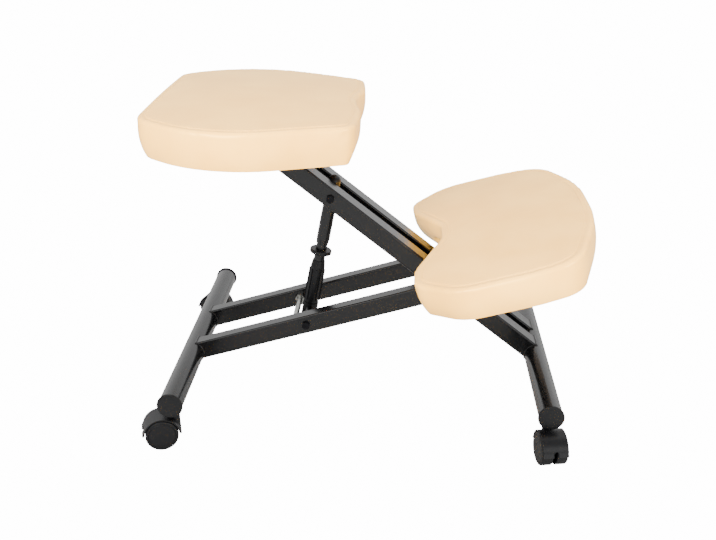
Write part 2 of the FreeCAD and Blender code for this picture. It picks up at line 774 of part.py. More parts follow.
def knee_posts(put):
    """Two upright plates that stand beside the upper rails and carry the knee cushion's plate."""
    tilt = math.radians(value("knee_tilt + upper_rail_angle"))
    along, rise = value("knee_along"), value("knee_rise")

    def on_rail(distance, height):
        """A point beside the rail, in the cushion's own frame."""
        dx, dz = distance - along, height - rise
        return (dx * math.cos(tilt) + dz * math.sin(tilt), dz * math.cos(tilt) - dx * math.sin(tilt))

    low, inner = -value("rail_height") * 0.4, value("upper_outer_y")
    start, end = value("post_foot_start"), value("post_foot_end")
    base = -value("plate_thickness")
    middle, half = value("knee_plate_shift"), value("knee_plate_length") / 2
    corners = [(middle - half * 0.84, base), (middle + half * 0.2, base),
               on_rail(end, 0), on_rail(end, low), on_rail(start, low), on_rail(start, 0)]
    points = [Vector(x, inner, z) for x, z in corners]
    left = Part.Face(Part.makePolygon(points + points[:1])).extrude(Vector(0, value("post_thickness"), 0))
    right = left.mirror(Vector(), Vector(0, 1, 0))
    put(solid_node("knee_posts", Part.makeCompound([left, right])))


seat()
knee_pad()


# Casters: drawn with the stem on Z and the wheels trailing towards -X

def caster_hood(name):
    """A half round hood over both wheels, on a web that holds the axle and the stem."""
    body = new_body(name)
    outer, inner = "hood_radius", "hood_radius - hood_wall"
    cx, cz = "-caster_trail", "axle_z"
    turn_x = "sqrt(hood_radius ^ 2 - hood_flare_height ^ 2)"
    turn_z, edge_z = cz + " + hood_flare_height", cz + " + hood_edge_height"
    edge_x = outer + " + hood_flare"
    sketch = sketch_on(body, name + "_boss_profile", "XY", "axle_z")
    circle(sketch, "stem_collar_diameter")
    feature(body, "Pad", name + "_boss", sketch, Length="hood_top - axle_z")
    sketch = sketch_on(body, name + "_dome_profile", "XZ")
    profile(sketch, [
        (cx + " + " + turn_x, turn_z), (cx, cz + " + " + outer, outer, 1),
        (cx + " - " + turn_x, turn_z, outer, 1),
        (cx + " - (%s)" % edge_x, edge_z),
        (cx + " + " + edge_x, edge_z)])
    feature(body, "Pad", name + "_dome", sketch, Length="hood_width", Midplane=True)
    for side, sign, flip in (("right", "", False), ("left", "-", True)):
        sketch = sketch_on(body, name + "_space_%s_profile" % side, "XZ", sign + "hood_web / 2")
        circle(sketch, "2 * (%s)" % inner, cx, cz)
        feature(body, "Pocket", name + "_space_" + side, sketch, Length="hood_width", Reversed=not flip)
    sketch = sketch_on(body, name + "_axle_boss_profile", "XZ")
    circle(sketch, "3 * axle_diameter", cx, cz)
    feature(body, "Pad", name + "_axle_boss", sketch, Length="hood_web", Midplane=True)
    sketch = sketch_on(body, name + "_notch_profile", "YZ", cx + " - hood_radius - 2 * hood_flare")
    half, low = "hood_notch_width / 2", "axle_z - hood_notch_height"
    high = "axle_z + hood_notch_height - hood_notch_width / 2"
    profile(sketch, [(half, high), ("0", high + " + " + half, half, 1), ("-" + half, high, half, 1),
                     ("-" + half, low), (half, low)])
    feature(body, "Pocket", name + "_notch", sketch, Length="2 * hood_flare + hood_notch_depth", Reversed=True)
    drill(body, name + "_axle_bore", "axle_diameter", cx, cz)
    sketch = sketch_on(body, name + "_collar_seat_profile", "XY", "hood_top")
    circle(sketch, "stem_collar_diameter + 2 * stem_play")
    feature(body, "Pocket", name + "_collar_seat", sketch, Length="hood_top", Reversed=True)
    sketch = sketch_on(body, name + "_stem_bore_profile", "XY", "stem_step_z")
    circle(sketch, "stem_diameter + 2 * bolt_clearance")
    feature(body, "Pocket", name + "_stem_bore", sketch, Length="hood_top", Reversed=True)
    sketch = sketch_on(body, name + "_pin_bore_profile", "XY", "axle_z + 2 * axle_diameter")
    circle(sketch, "stem_pin_diameter + 2 * bolt_clearance")
    feature(body, "Pocket", name + "_pin_bore", sketch, Length="hood_top", Reversed=True)
    return body


def caster_stem(name):
    body = new_body(name)
    radius, pin = "stem_diameter / 2", "stem_pin_diameter / 2"
    tube_bottom = "tube_height - tube_diameter / 2"
    foot, top = "axle_z + 2 * axle_diameter + 0.5", "tube_height + stem_diameter"
    revolve(body, name + "_turned", [
        ("0", foot), (pin, foot), (pin, "stem_step_z + 0.2"), (radius, "stem_step_z + 0.2"),
        (radius, tube_bottom + " - stem_collar_height"),
        ("stem_collar_diameter / 2", tube_bottom + " - stem_collar_height"),
        ("stem_collar_diameter / 2", tube_bottom), (radius, tube_bottom),
        (radius, top + " - 2"), (radius + " - 2", top), ("0", top)])
    return body


def caster_wheel(name, sign):
    """A cupped wheel: closed outer face with a ring near the rim, open towards the web."""
    body = new_body(name)
    bore, hub = "axle_diameter / 2 + bolt_clearance", "wheel_hub_diameter / 2"
    near, face = "wheel_gap / 2", "wheel_gap / 2 + wheel_width"
    rim, wall, soft = "wheel_diameter / 2", "wheel_wall", "wheel_round"
    points = [
        (near, bore), (face + " - " + wall, bore), (face + " - " + wall, "0"), (face, "0"),
        (face, rim + " - 1.8 * " + soft), (face + " - 0.6", rim + " - 1.6 * " + soft),
        (face, rim + " - 1.4 * " + soft), (face, rim + " - " + soft),
        (face + " - " + soft, rim, soft, 1), (near + " + 1", rim), (near, rim + " - 1", "1", 1),
        (near, rim + " - " + wall), (face + " - " + wall, rim + " - " + wall),
        (face + " - " + wall, hub), (near, hub)]
    if sign < 0:
        points = [("-(%s)" % points[0][0], points[0][1])] + [
            mirrored_point(points, i) for i in range(len(points) - 1, 0, -1)]
    revolve(body, name + "_turned", points, "YZ", "H_Axis")
    return body


def mirrored_point(points, i):
    """The point before this one on the mirrored outline, with the arc that led away from it."""
    leads = points[(i + 1) % len(points)]
    return ("-(%s)" % points[i][0], points[i][1]) + tuple(leads[2:])


def caster(name, stem_x, side_sign, swivel):
    y = side_sign + "stem_y"
    place(caster_stem(name + "_stem"), stem_x, y, "0")
    place(caster_hood(name + "_hood"), stem_x, y, "0", turn=swivel)
    x = "%s - caster_trail * cos(%s)" % (stem_x, swivel)
    across = "%s - caster_trail * sin(%s)" % (y, swivel)
    reach = value("wheel_gap / 2 + wheel_width - wheel_wall") - 0.3
    axle = rod_along_y(value("axle_diameter") / 2, -reach, reach)
    place(solid_node(name + "_axle", axle), x, across, "axle_z", turn=swivel)
    place(caster_wheel(name + "_wheel_a", 1), x, across, "axle_z", turn=swivel)
    place(caster_wheel(name + "_wheel_b", -1), x, across, "axle_z", turn=swivel)


caster("rear_right", "0", "-", "rear_swivel")
caster("rear_left", "0", "", "-rear_swivel")
caster("front_right", "wheelbase", "-", "front_swivel")
caster("front_left", "wheelbase", "", "-front_swivel")


# The frame's origin goes under the middle of the whole chair

def whole_box():
    box = FreeCAD.BoundBox()
    for node in nodes:
        box.add(node.Shape.optimalBoundingBox(False, False))
    return box


doc.recompute()
sheet.set("B%d" % (len(SIZES) + 1), str(round(-whole_box().Center.x, 3)))
doc.recompute()

for item in doc.Objects:
    if "Invalid" in item.State or "Error" in item.State:
        raise RuntimeError("%s: %s" % (item.Name, item.State))
for node in nodes:
    if node.Shape.isNull() or not node.Shape.isValid() or not node.Shape.Solids:
        raise RuntimeError("no valid solid in " + node.Label)
    node.Shape.exportStep("parts/%s.step" % node.Label)

whole = whole_box()
print("nodes", len(nodes), "solids", sum(len(node.Shape.Solids) for node in nodes))
print("box", [round(n, 2) for n in (whole.XMin, whole.XMax, whole.YMin, whole.YMax, whole.ZMin, whole.ZMax)])
for name in ("origin_x", "pivot_x", "pivot_z", "low_bolt_x", "low_bolt_z", "high_bolt_x", "high_bolt_z",
             "link_length", "link_lean", "stem_y", "axle_z", "seat_x", "seat_z", "knee_x", "knee_z"):
    print(name, round(value(name), 3))
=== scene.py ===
# %% [markdown]
# A kneeling chair has no back. The sitter leans forward on a sloping seat and rests the shins on a
# second cushion. Two pairs of steel rails cross like scissors, a screw between them sets the
# height, and four small twin-wheel casters carry the frame. The steel and plastic parts come from
# the CAD model, so this lesson spends its time on upholstery, paint, welds and light.

# %% Load the CAD frame
import json
import math

import bmesh
import bpy
import numpy as np
from mathutils import Matrix, Vector, noise
from mathutils.bvhtree import BVHTree
from mathutils.kdtree import KDTree


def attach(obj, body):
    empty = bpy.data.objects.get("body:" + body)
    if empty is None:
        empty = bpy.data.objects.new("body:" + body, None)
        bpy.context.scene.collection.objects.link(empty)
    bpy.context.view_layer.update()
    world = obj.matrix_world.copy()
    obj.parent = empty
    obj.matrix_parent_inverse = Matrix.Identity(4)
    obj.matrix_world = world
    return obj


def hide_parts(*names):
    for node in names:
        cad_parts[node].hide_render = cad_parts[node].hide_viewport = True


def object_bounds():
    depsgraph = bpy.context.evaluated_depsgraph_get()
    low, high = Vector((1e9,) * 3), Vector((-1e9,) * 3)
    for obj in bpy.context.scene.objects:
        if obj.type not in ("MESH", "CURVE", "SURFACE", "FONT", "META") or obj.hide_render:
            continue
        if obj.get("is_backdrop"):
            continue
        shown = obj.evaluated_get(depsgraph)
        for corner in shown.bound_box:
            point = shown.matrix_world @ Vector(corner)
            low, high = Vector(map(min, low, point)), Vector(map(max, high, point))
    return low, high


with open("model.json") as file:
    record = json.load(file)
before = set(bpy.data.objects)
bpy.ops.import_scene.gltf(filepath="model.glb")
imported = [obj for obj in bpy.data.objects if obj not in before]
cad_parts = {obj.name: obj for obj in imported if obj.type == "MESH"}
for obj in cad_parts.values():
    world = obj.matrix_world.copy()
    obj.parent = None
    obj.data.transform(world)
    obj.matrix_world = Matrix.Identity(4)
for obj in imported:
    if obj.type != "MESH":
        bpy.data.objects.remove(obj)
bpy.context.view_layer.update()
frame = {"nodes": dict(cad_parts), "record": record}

MM = 0.001

# %% [markdown]
# The photograph was taken from the side, from about standing height, with a moderate lens. Setting
# the camera from a measured position and three angles is steadier than dragging it by eye: the
# lens comes from the focal length in pixels, and the camera's three axes from yaw, pitch and roll.

# %% Camera
PHOTO_WIDTH = 716
FOCAL_PIXELS = 940.0
SENSOR_WIDTH = 36.0
EYE = Vector((0.042304, -1.516724, 0.863861))
YAW, PITCH, ROLL = -0.0464885, -0.4039292, 0.0067607

ahead = Vector((math.sin(YAW) * math.cos(PITCH), math.cos(YAW) * math.cos(PITCH), math.sin(PITCH)))
level = Vector((math.cos(YAW), -math.sin(YAW), 0))
above = level.cross(ahead)
right = level * math.cos(ROLL) + above * math.sin(ROLL)
up = above * math.cos(ROLL) - level * math.sin(ROLL)

bpy.ops.object.camera_add(location=EYE)
camera = bpy.context.object
camera.name = "photo_camera"
camera.data.sensor_width = SENSOR_WIDTH
camera.data.lens = FOCAL_PIXELS * SENSOR_WIDTH / PHOTO_WIDTH
camera.rotation_euler = Matrix((right, up, -ahead)).transposed().to_euler()
bpy.context.scene.camera = camera
print("lens in mm:", round(camera.data.lens, 2))

# %% [markdown]
# Two small helpers serve the whole lesson. Colours are written as a screen shows them, in hex, and
# Blender calculates with linear light, so one function turns the first into the second. The other
# adds a node to a graph and sets or links its inputs in one go.

# %% Colours and nodes


def srgb(text):
    """Turns a hex colour as a screen shows it into the linear values that Blender uses."""
    channels = [int(text[i:i + 2], 16) / 255 for i in (1, 3, 5)]
    linear = [c / 12.92 if c <= 0.04045 else ((c + 0.055) / 1.055) ** 2.4 for c in channels]
    return (*linear, 1.0)


def add_node(tree, kind, inputs=None, **settings):
    """Adds a node with its settings. An input given as a socket is linked, any other is set."""
    made = tree.nodes.new(kind)
    for name, setting in settings.items():
        setattr(made, name, setting)
    for name, source in (inputs or {}).items():
        if isinstance(source, bpy.types.NodeSocket):
            tree.links.new(source, made.inputs[name])
        else:
            made.inputs[name].default_value = source
    return made


print("mid grey as linear light:", round(srgb("#808080")[0], 3))

# %% [markdown]
# The chair stands in a white studio: a bright backdrop behind it and a darker room on the camera's
# side. The black steel shows mostly what it reflects, so the backdrop draws the light strips on
# top of the rails and the dark room keeps their near sides black. The camera itself sees plain
# white all round, as in a catalogue picture.

# %% White studio
ROOM_LIGHT, BACKDROP_LIGHT, PAPER_WHITE = 0.36, 1.2, 15.0
ROOM_ENDS, BACKDROP_STARTS = -0.1, 0.75

world = bpy.data.worlds.new("white_studio")
bpy.context.scene.world = world
world.use_nodes = True
tree = world.node_tree
background = tree.nodes["Background"]
background.inputs["Color"].default_value = (1.0, 1.0, 1.0, 1.0)
coords = add_node(tree, "ShaderNodeTexCoord")
sides = add_node(tree, "ShaderNodeSeparateXYZ", {"Vector": coords.outputs["Generated"]})
studio = add_node(tree, "ShaderNodeMapRange",
                  {"Value": sides.outputs["Y"], "From Min": ROOM_ENDS, "From Max": BACKDROP_STARTS,
                   "To Min": ROOM_LIGHT, "To Max": BACKDROP_LIGHT},
                  interpolation_type="SMOOTHSTEP")
eye_ray = add_node(tree, "ShaderNodeLightPath")
shown = add_node(tree, "ShaderNodeMapRange",
                 {"Value": eye_ray.outputs["Is Camera Ray"],
                  "To Min": studio.outputs["Result"], "To Max": PAPER_WHITE})
tree.links.new(shown.outputs["Result"], background.inputs["Strength"])
print("studio nodes:", len(tree.nodes))

# %% [markdown]
# Three large softboxes give the plain, soft light of a product picture: a key from the left, one
# overhead, and a weak fill from the low right so that the casters don't sink into black.

# %% Softboxes
CHAIR_MIDDLE = (0.0, 0.0, 0.3)


def add_softbox(name, place, size, watts):
    """A rectangular area lamp that looks at the middle of the chair."""
    bpy.ops.object.light_add(type="AREA", location=place)
    lamp = bpy.context.object
    lamp.name = name
    lamp.data.shape = "RECTANGLE"
    lamp.data.size, lamp.data.size_y = size
    lamp.data.energy = watts
    aim = Vector(CHAIR_MIDDLE) - Vector(place)
    lamp.rotation_euler = aim.to_track_quat("-Z", "Y").to_euler()
    print(name, "at", watts, "W")
    return lamp


add_softbox("key_softbox", (-1.2, -2.6, 2.2), (2.4, 1.8), 32)
add_softbox("top_softbox", (0.3, 0.6, 2.9), (2.6, 2.6), 25)
add_softbox("low_fill", (1.6, -2.2, 0.9), (1.6, 1.2), 12)

# %% [markdown]
# A pale matt floor throws light up under the rails and the cushions, as studio paper does. It is
# hidden from the camera alone, so the picture stays white to its edges. Every material of this
# lesson starts from the same function: a Principled shader with its flat values on its own sockets.

# %% Studio floor
FLOOR_SIZE = 30.0
FLOOR_MOTTLE_MM = 400


def new_material(name, base, roughness, **sockets):
    """A named material with flat values on its shader: the material, its tree and its shader."""
    material = bpy.data.materials.new(name)
    material.use_nodes = True
    tree = material.node_tree
    shader = tree.nodes["Principled BSDF"]
    shader.inputs["Base Color"].default_value = srgb(base)
    shader.inputs["Roughness"].default_value = roughness
    for socket, setting in sockets.items():
        shader.inputs[socket.replace("_", " ")].default_value = setting
    print("new finish:", name)
    return material, tree, shader


bpy.ops.mesh.primitive_plane_add(size=FLOOR_SIZE, location=(0, 0, 0))
floor = bpy.context.object
floor.name = "studio_floor"
floor_paint, tree, shader = new_material("matt_studio_floor", "#f4f4f3", 0.7)
coords = add_node(tree, "ShaderNodeTexCoord")
mottle = add_node(tree, "ShaderNodeTexNoise",
                  {"Vector": coords.outputs["Object"], "Scale": 1 / (FLOOR_MOTTLE_MM * MM)})
soft = add_node(tree, "ShaderNodeMapRange",
                {"Value": mottle.outputs["Fac"], "To Min": 0.66, "To Max": 0.74})
tree.links.new(soft.outputs["Result"], shader.inputs["Roughness"])
floor.data.materials.append(floor_paint)
floor.visible_camera = False
floor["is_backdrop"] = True

# %% [markdown]
# Every finish starts from what the real one is. The tubes and rails are mild steel with a glossy
# black powder coat: smooth, but with the faint waviness that painters call orange peel. Powder
# coat is a dielectric, so it is dark face on and turns light grey at a shallow angle.

# %% Black powder coat on steel
ORANGE_PEEL_MM = 2.2
BLOTCH_MM = 60

powder_coat, tree, shader = new_material("black_powder_coat", "#0c0c0f", 0.26, Coat_Weight=0.35,
                                         Coat_Roughness=0.12)
coords = add_node(tree, "ShaderNodeTexCoord")
peel = add_node(tree, "ShaderNodeTexNoise",
                {"Vector": coords.outputs["Object"], "Scale": 1 / (ORANGE_PEEL_MM * MM),
                 "Detail": 1.0})
bump = add_node(tree, "ShaderNodeBump",
                {"Height": peel.outputs["Fac"], "Strength": 0.25, "Distance": 0.02 * MM})
blotch = add_node(tree, "ShaderNodeTexNoise",
                  {"Vector": coords.outputs["Object"], "Scale": 1 / (BLOTCH_MM * MM),
                   "Detail": 3.0})
gloss = add_node(tree, "ShaderNodeMapRange",
                 {"Value": blotch.outputs["Fac"], "To Min": 0.22, "To Max": 0.31})
tree.links.new(bump.outputs["Normal"], shader.inputs["Normal"])
tree.links.new(gloss.outputs["Result"], shader.inputs["Roughness"])

# %% [markdown]
# End caps, the fluted grip and the casters are injection-moulded nylon and polypropylene. A
# spark-eroded mould leaves a satin face with a very fine grain, so the highlight is wider and
# dimmer than on the paint. The real grain is a tenth of a millimetre and would vanish at this
# distance, so it is drawn at about one millimetre.

# %% Moulded black plastics
MOULD_GRAIN_MM = 0.9


def moulded_plastic(name, base, rough_low, rough_high, grain):
    """A satin black plastic with a fine grain and a cloudy gloss."""
    material, tree, shader = new_material(name, base, rough_low)
    coords = add_node(tree, "ShaderNodeTexCoord")
    speckle = add_node(tree, "ShaderNodeTexNoise",
                       {"Vector": coords.outputs["Object"], "Scale": 1 / (MOULD_GRAIN_MM * MM),
                        "Detail": 2.0})
    bump = add_node(tree, "ShaderNodeBump",
                    {"Height": speckle.outputs["Fac"], "Strength": grain, "Distance": 0.03 * MM})
    cloud = add_node(tree, "ShaderNodeTexNoise",
                     {"Vector": coords.outputs["Object"], "Scale": 1 / (BLOTCH_MM * MM),
                      "Detail": 2.0})
    satin = add_node(tree, "ShaderNodeMapRange",
                     {"Value": cloud.outputs["Fac"], "To Min": rough_low, "To Max": rough_high})
    tree.links.new(bump.outputs["Normal"], shader.inputs["Normal"])
    tree.links.new(satin.outputs["Result"], shader.inputs["Roughness"])
    return material


cap_plastic = moulded_plastic("moulded_polypropylene", "#131316", 0.34, 0.44, 0.3)
caster_nylon = moulded_plastic("moulded_nylon", "#141418", 0.36, 0.48, 0.25)

# %% [markdown]
# Bolts and nuts are blackened steel: a thin oxide that lets a dull metal glint through. The stay,
# the caster stems and the wood screws are zinc plated, with the faint mottled crystals of a
# passivated coat. The rod's nut inside the grip is turned brass.

# %% Bolt, zinc and brass finishes
CRYSTAL_MM = 5


def plated_metal(name, base, pale, rough_low, rough_high, metallic):
    """A metal whose colour and gloss follow the crystals of its coat."""
    material, tree, shader = new_material(name, base, rough_low, Metallic=metallic)
    coords = add_node(tree, "ShaderNodeTexCoord")
    crystal = add_node(tree, "ShaderNodeTexVoronoi",
                       {"Vector": coords.outputs["Object"], "Scale": 1 / (CRYSTAL_MM * MM)})
    ramp = add_node(tree, "ShaderNodeValToRGB", {"Fac": crystal.outputs["Distance"]})
    ramp.color_ramp.elements[0].color = srgb(base)
    ramp.color_ramp.elements[1].color = srgb(pale)
    rough = add_node(tree, "ShaderNodeMapRange",
                     {"Value": crystal.outputs["Distance"], "To Min": rough_low,
                      "To Max": rough_high})
    tree.links.new(ramp.outputs["Color"], shader.inputs["Base Color"])
    tree.links.new(rough.outputs["Result"], shader.inputs["Roughness"])
    return material


bolt_black = plated_metal("blackened_steel", "#1b1b1e", "#2a2a2e", 0.32, 0.42, 0.85)
zinc = plated_metal("zinc_plated_steel", "#a9aaa6", "#c6c7c2", 0.3, 0.42, 1.0)
brass = plated_metal("turned_brass", "#b8924c", "#cda860", 0.28, 0.36, 1.0)

# %% [markdown]
# The boards under the cushions are birch plywood: long pale grain with darker growth lines. A
# wave pattern is stretched along the grain and bent by its own noise into lines a few millimetres
# apart.

# %% Birch plywood
GRAIN_MM = 7
GRAIN_STRETCH = 0.18

plywood, tree, shader = new_material("birch_plywood", "#b98f5f", 0.62)
coords = add_node(tree, "ShaderNodeTexCoord")
stretch = add_node(tree, "ShaderNodeMapping",
                   {"Vector": coords.outputs["Object"], "Scale": (GRAIN_STRETCH, 1.0, 1.0)})
grain = add_node(tree, "ShaderNodeTexWave",
                 {"Vector": stretch.outputs["Vector"], "Scale": 0.3 / (GRAIN_MM * MM),
                  "Distortion": 5.0, "Detail": 3.0, "Detail Scale": 1.4},
                 wave_type="BANDS", bands_direction="Y")
wood_tone = add_node(tree, "ShaderNodeValToRGB", {"Fac": grain.outputs["Fac"]})
wood_tone.color_ramp.elements[0].color = srgb("#9c7446")
wood_tone.color_ramp.elements[1].color = srgb("#c7a06e")
wood_bump = add_node(tree, "ShaderNodeBump",
                     {"Height": grain.outputs["Fac"], "Strength": 0.2, "Distance": 0.1 * MM})
tree.links.new(wood_tone.outputs["Color"], shader.inputs["Base Color"])
tree.links.new(wood_bump.outputs["Normal"], shader.inputs["Normal"])

# %% [markdown]
# The cushions wear cream vinyl, a polyurethane skin embossed with a fine pebble grain. The real
# grain is under a millimetre and would vanish at this distance, so it is drawn at about two
# millimetres. Broad, faint clouds in the colour and in the gloss keep the large smooth faces from
# looking like plastic, and a low, wide bump gives the soft hollows of a skin over foam.

# %% Cream vinyl
PEBBLE_MM = 2.0
CLOUD_MM = 70
CREASE_MM = 22

cream_vinyl, tree, shader = new_material("cream_vinyl", "#f1c87c", 0.34, Specular_IOR_Level=0.5,
                                         Sheen_Weight=0.08, Sheen_Roughness=0.4)
coords = add_node(tree, "ShaderNodeTexCoord")
place = coords.outputs["Object"]
cloud = add_node(tree, "ShaderNodeTexNoise",
                 {"Vector": place, "Scale": 1 / (CLOUD_MM * MM), "Detail": 2.0})
tone = add_node(tree, "ShaderNodeValToRGB", {"Fac": cloud.outputs["Fac"]})
for stop, position, colour in zip(tone.color_ramp.elements, (0.3, 0.7), ("#edc274", "#f4cd84")):
    stop.position = position
    stop.color = srgb(colour)
gloss = add_node(tree, "ShaderNodeMapRange",
                 {"Value": cloud.outputs["Fac"], "To Min": 0.29, "To Max": 0.38})
pebble = add_node(tree, "ShaderNodeTexVoronoi",
                  {"Vector": place, "Scale": 1 / (PEBBLE_MM * MM)}, feature="SMOOTH_F1")
crease = add_node(tree, "ShaderNodeTexNoise",
                  {"Vector": place, "Scale": 1 / (CREASE_MM * MM), "Detail": 3.0,
                   "Distortion": 0.6})
fine = add_node(tree, "ShaderNodeBump",
                {"Height": pebble.outputs["Distance"], "Strength": 0.22, "Distance": 0.12 * MM},
                invert=True)
broad = add_node(tree, "ShaderNodeBump",
                 {"Height": crease.outputs["Fac"], "Strength": 0.18, "Distance": 1.2 * MM,
                  "Normal": fine.outputs["Normal"]})
tree.links.new(tone.outputs["Color"], shader.inputs["Base Color"])
tree.links.new(gloss.outputs["Result"], shader.inputs["Roughness"])
tree.links.new(broad.outputs["Normal"], shader.inputs["Normal"])

# %% [markdown]
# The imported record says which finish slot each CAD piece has, so one small table is enough to
# paint the whole frame, and a piece added to the CAD later is painted too.

# %% Paint the CAD pieces
FINISHES = {
    "frame_black": powder_coat,
    "plastic_black": cap_plastic,
    "caster_black": caster_nylon,
    "bolt_black": bolt_black,
    "zinc": zinc,
    "brass": brass,
    "leather_cream": cream_vinyl,
    "board_wood": plywood,
}
for entry in frame["record"]["subparts"]:
    piece = frame["nodes"][entry["node"]]
    piece.data.materials.clear()
    piece.data.materials.append(FINISHES[entry["material_slot"]])
print("painted pieces:", len(frame["nodes"]))

# %% [markdown]
# A chair cushion is a slab of foam on a board, under a sewn cover that is pulled down tight. Each
# outline is given by a few corners of its left half, from rear to front, each with its own radius.
# The board keeps the plain outline. The cover's corners are rounded off further, because foam and
# vinyl never fill a board's corner.

# %% Corners of the boards and covers
SEAT_REAR, SEAT_FRONT, SEAT_HALF, SEAT_DIP = -168.0, 171.0, 238.0, 14.0
KNEE_REAR, KNEE_FRONT, KNEE_HALF, KNEE_NOTCH = -142.0, 166.0, 252.0, 54.0

seat_board_half = [
    ((SEAT_REAR, SEAT_HALF * 0.71), 62),
    ((-SEAT_HALF * 0.185, SEAT_HALF * 1.1), 180),
    ((SEAT_FRONT - 4, SEAT_HALF * 0.727), 24),
    ((SEAT_FRONT, SEAT_HALF * 0.32), 60),
    ((SEAT_FRONT - SEAT_DIP, 0), 150)]
seat_cover_half = [
    *seat_board_half[:2],
    ((SEAT_FRONT - 5, SEAT_HALF * 0.72), 38),
    *seat_board_half[3:]]
knee_board_half = [
    ((KNEE_REAR + KNEE_NOTCH, KNEE_HALF * 0.11), 80),
    ((KNEE_REAR + 11, KNEE_HALF * 0.545), 60),
    ((KNEE_REAR, KNEE_HALF * 0.75), 32),
    ((-KNEE_HALF * 0.3, KNEE_HALF), 80),
    ((KNEE_HALF * 0.18, KNEE_HALF), 150),
    ((KNEE_FRONT - 46, KNEE_HALF * 0.955), 60),
    ((KNEE_FRONT, KNEE_HALF * 0.36), 380)]
knee_cover_half = [
    knee_board_half[0],
    ((KNEE_REAR + 5, KNEE_HALF * 0.53), 56),
    ((KNEE_REAR + 1, KNEE_HALF * 0.76), 46),
    knee_board_half[3],
    ((KNEE_HALF * 0.16, KNEE_HALF), 150),
    ((KNEE_FRONT - 49, KNEE_HALF * 0.947), 74),
    ((KNEE_FRONT, KNEE_HALF * 0.35), 380)]
print("corners of the seat and the knee rest:", len(seat_board_half), len(knee_board_half))

# %% [markdown]
# The corners become one smooth closed path: an arc at each corner, mirrored to the other half, and
# walked at even steps. Even steps matter twice, for clean faces in the slab and for stitches that
# keep their distance later.

# %% Outlines
PATH_STEPS, FINE_STEPS = 360, 720
ARC_STEPS = 24


def corner_arc(before, here, after, radius):
    """Points along the arc of a radius that rounds the corner at here."""
    into, out = (here - before).normalized(), (after - here).normalized()
    half_turn = into.angle(out) / 2
    start = here - into * radius * math.tan(half_turn)
    centre = here + (out - into).normalized() * radius / math.cos(half_turn)
    spoke = start - centre
    turn = math.copysign(2 * half_turn, into.cross(out))
    return [centre + Matrix.Rotation(turn * i / ARC_STEPS, 2) @ spoke
            for i in range(ARC_STEPS + 1)]


def even_path(points, count):
    """The same closed path walked in equal steps."""
    ring = np.array([*points, points[0]], float)
    lengths = np.r_[0, np.cumsum(np.linalg.norm(np.diff(ring, axis=0), axis=1))]
    stations = np.linspace(0, lengths[-1], count, endpoint=False)
    return np.stack([np.interp(stations, lengths, ring[:, k]) for k in range(ring.shape[1])], 1)


def inward_of(path):
    """The direction at each point of an anticlockwise path that leads inwards."""
    along = np.roll(path, -1, 0) - np.roll(path, 1, 0)
    along /= np.linalg.norm(along, axis=1)[:, None]
    return np.stack([-along[:, 1], along[:, 0]], 1)


def outline(half, inset=0.0, count=PATH_STEPS):
    """The closed outline, anticlockwise, in millimetres, moved inwards by inset."""
    mirrored = [((x, -y), radius) for (x, y), radius in half if y > 0]
    corners = [(Vector(p), radius) for p, radius in [*reversed(half), *mirrored]]
    points = []
    for i, (here, radius) in enumerate(corners):
        before, after = corners[i - 1][0], corners[(i + 1) % len(corners)][0]
        points += corner_arc(before, here, after, radius)
    path = even_path(points, count)
    return even_path(path + inward_of(path) * inset, count)


for name, half in (("seat", seat_board_half), ("knee rest", knee_board_half)):
    path = outline(half)
    print(name, "outline in mm:", path.min(0).round(1), path.max(0).round(1))

# %% [markdown]
# The slab itself starts as a circle whose points are moved onto the outline. It is filled,
# extruded up, and its rims are bevelled. Everything is first made lying flat at the origin.

# %% A slab over an outline
RIM_SEGMENTS = 3
SAME_HEIGHT = 1e-6


def only(piece):
    """Makes one piece the only selected and active one."""
    bpy.ops.object.select_all(action="DESELECT")
    piece.select_set(True)
    bpy.context.view_layer.objects.active = piece


def slab(name, path, low, high, rim_top=0.0, rim_base=0.0):
    """A closed block over an outline in millimetres, with bevelled top and base rims."""
    bpy.ops.object.select_all(action="DESELECT")
    bpy.ops.mesh.primitive_circle_add(vertices=len(path), radius=1.0, fill_type="NGON")
    piece = bpy.context.object
    piece.name = name
    for vertex, (x, y) in zip(piece.data.vertices, path):
        vertex.co = Vector((x, y, low)) * MM
    bpy.ops.object.mode_set(mode="EDIT")
    bpy.ops.mesh.select_all(action="SELECT")
    bpy.ops.mesh.extrude_region_move(TRANSFORM_OT_translate={"value": (0, 0, (high - low) * MM)})
    bpy.ops.mesh.select_all(action="SELECT")
    bpy.ops.mesh.normals_make_consistent(inside=False)
    for height, rim in ((high, rim_top), (low, rim_base)):
        if rim:
            shape = bmesh.from_edit_mesh(piece.data)
            for edge in shape.edges:
                edge.select = all(abs(v.co.z - height * MM) < SAME_HEIGHT for v in edge.verts)
            bmesh.update_edit_mesh(piece.data)
            bpy.ops.mesh.bevel(offset=rim * MM, segments=RIM_SEGMENTS, affect="EDGES")
            bpy.ops.mesh.select_all(action="DESELECT")
    bpy.ops.object.mode_set(mode="OBJECT")
    print(name, "slab has", len(piece.data.polygons), "faces")
    return piece


# %% [markdown]
# The foam slab loses two shapes by Boolean modifiers: the recess that takes the board, and under
# the knee rest a relief for the rails that cross there. Then a voxel remesh turns it into an even
# net of small squares, which cloth needs, and the lid is bent to a shallow ball.

# %% Foam slab
BOARD_INSET_MM, BOARD_MM, BOARD_FIT_MM = 14.0, 12.0, 0.3
OUTLINE_SLACK_MM = 2.0
RIM_TOP_MM, RIM_BASE_MM = 15.0, 7.0
TOOL_DEPTH_MM = 20.0
VOXEL_MM = 4.5


def apply_modifier(piece, kind, **settings):
    """Adds a modifier with its settings and applies it at once."""
    only(piece)
    modifier = piece.modifiers.new(kind.lower(), kind)
    for name, setting in settings.items():
        setattr(modifier, name, setting)
    bpy.ops.object.modifier_apply(modifier=modifier.name)


